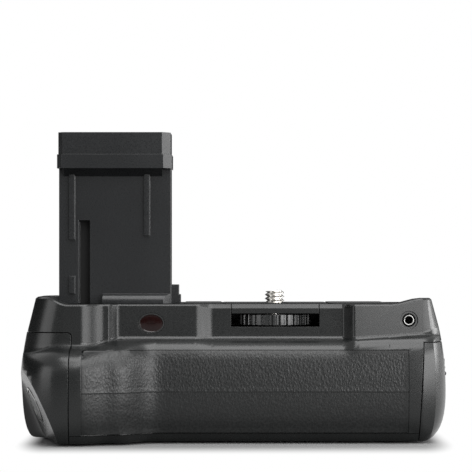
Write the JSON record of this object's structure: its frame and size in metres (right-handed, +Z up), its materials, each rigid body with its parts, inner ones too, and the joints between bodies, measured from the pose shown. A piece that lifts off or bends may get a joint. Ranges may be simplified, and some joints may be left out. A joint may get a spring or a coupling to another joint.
{
  "type": "camera battery grip",
  "caption": "Moulded grip that screws under a small camera, with a tower for its battery chamber, a thumbwheel screw, a release button and a pull-out drawer for packs.",
  "frame": {"origin": "on the common axis of the camera screw and the tripod socket, at the socket's mouth, on the plane of the feet", "axes": "+Z up towards the camera, +X along the body towards the drawer end, the grained front faces -Y"},
  "size_m": [0.1385, 0.0569, 0.0996],
  "materials": {
    "body_plastic": "fine-textured charcoal moulding",
    "tower_plastic": "satin charcoal moulding",
    "grip_rubber": "leather-grained rubber",
    "pad_rubber": "plain matt rubber",
    "wheel_plastic": "ribbed moulding",
    "button_plastic": "satin moulding",
    "inner_plastic": "plain moulding",
    "pack_plastic": "plain grey pack without a label",
    "steel": "turned steel",
    "bright_ring": "polished plating",
    "contact_brass": "gilt contact strip",
    "board": "green solder mask",
    "flex_film": "amber film",
    "window_red": "dark red tinted window"
  },
  "bodies": {
    "housing": {"main_housing": "body_plastic", "base_plate": "body_plastic", "left_end_cap": "body_plastic", "front_grip_panel": "grip_rubber", "thumb_pad": "grip_rubber", "wheel_cover": "body_plastic", "wheel_bracket": "inner_plastic", "bracket_screws": "steel", "deck_pads": "pad_rubber", "tower_body": "tower_plastic", "tower_back": "tower_plastic", "tower_head": "tower_plastic", "tower_contacts": "contact_brass", "tower_screws": "steel", "tower_flex": "flex_film", "receiver_window": "window_red", "receiver_sensor": "inner_plastic", "socket_ring": "bright_ring", "remote_socket": "inner_plastic", "main_board": "board", "battery_chamber": "inner_plastic", "chamber_contacts": "contact_brass", "tripod_bush": "steel", "base_feet": "pad_rubber", "base_screws": "steel", "cap_screws": "steel", "button_bezel": "bright_ring", "shutter_spring": "steel", "shutter_switch": "inner_plastic", "power_switch": "inner_plastic"},
    "screw": {"thumbwheel": "wheel_plastic", "camera_screw": "steel", "screw_clip": "steel"},
    "button": {"shutter_button": "button_plastic"},
    "knob": {"power_knob": "button_plastic"},
    "drawer": {"battery_drawer": "inner_plastic", "drawer_cap": "body_plastic", "drawer_screws": "steel", "drawer_contacts": "contact_brass", "inner_pack": "pack_plastic", "outer_pack": "pack_plastic", "latch_retainer": "steel", "latch_screws": "steel"},
    "latch": {"latch_slider": "button_plastic"}
  },
  "joints": [
    {"name": "wheel_turn", "type": "hinge", "parent": "housing", "child": "screw", "pos_m": [0, 0, 0.0392], "axis": [0, 0, 1], "continuous": true},
    {"name": "shutter_press", "type": "slide", "parent": "housing", "child": "button", "axis": [0.8949, 0.2348, 0.3795], "range_m": [0, 0.0012], "stiffness_N_per_m": 600, "springref_m": -0.0008, "deforming": ["shutter_spring"]},
    {"name": "power_slide", "type": "slide", "parent": "housing", "child": "knob", "axis": [1, 0, 0], "range_m": [0, 0.003]},
    {"name": "drawer_slide", "type": "slide", "parent": "housing", "child": "drawer", "axis": [1, 0, 0], "range_m": [0, 0.107]},
    {"name": "latch_slide", "type": "slide", "parent": "drawer", "child": "latch", "axis": [0, 0, 1], "range_m": [0, 0.0025]}
  ]
}
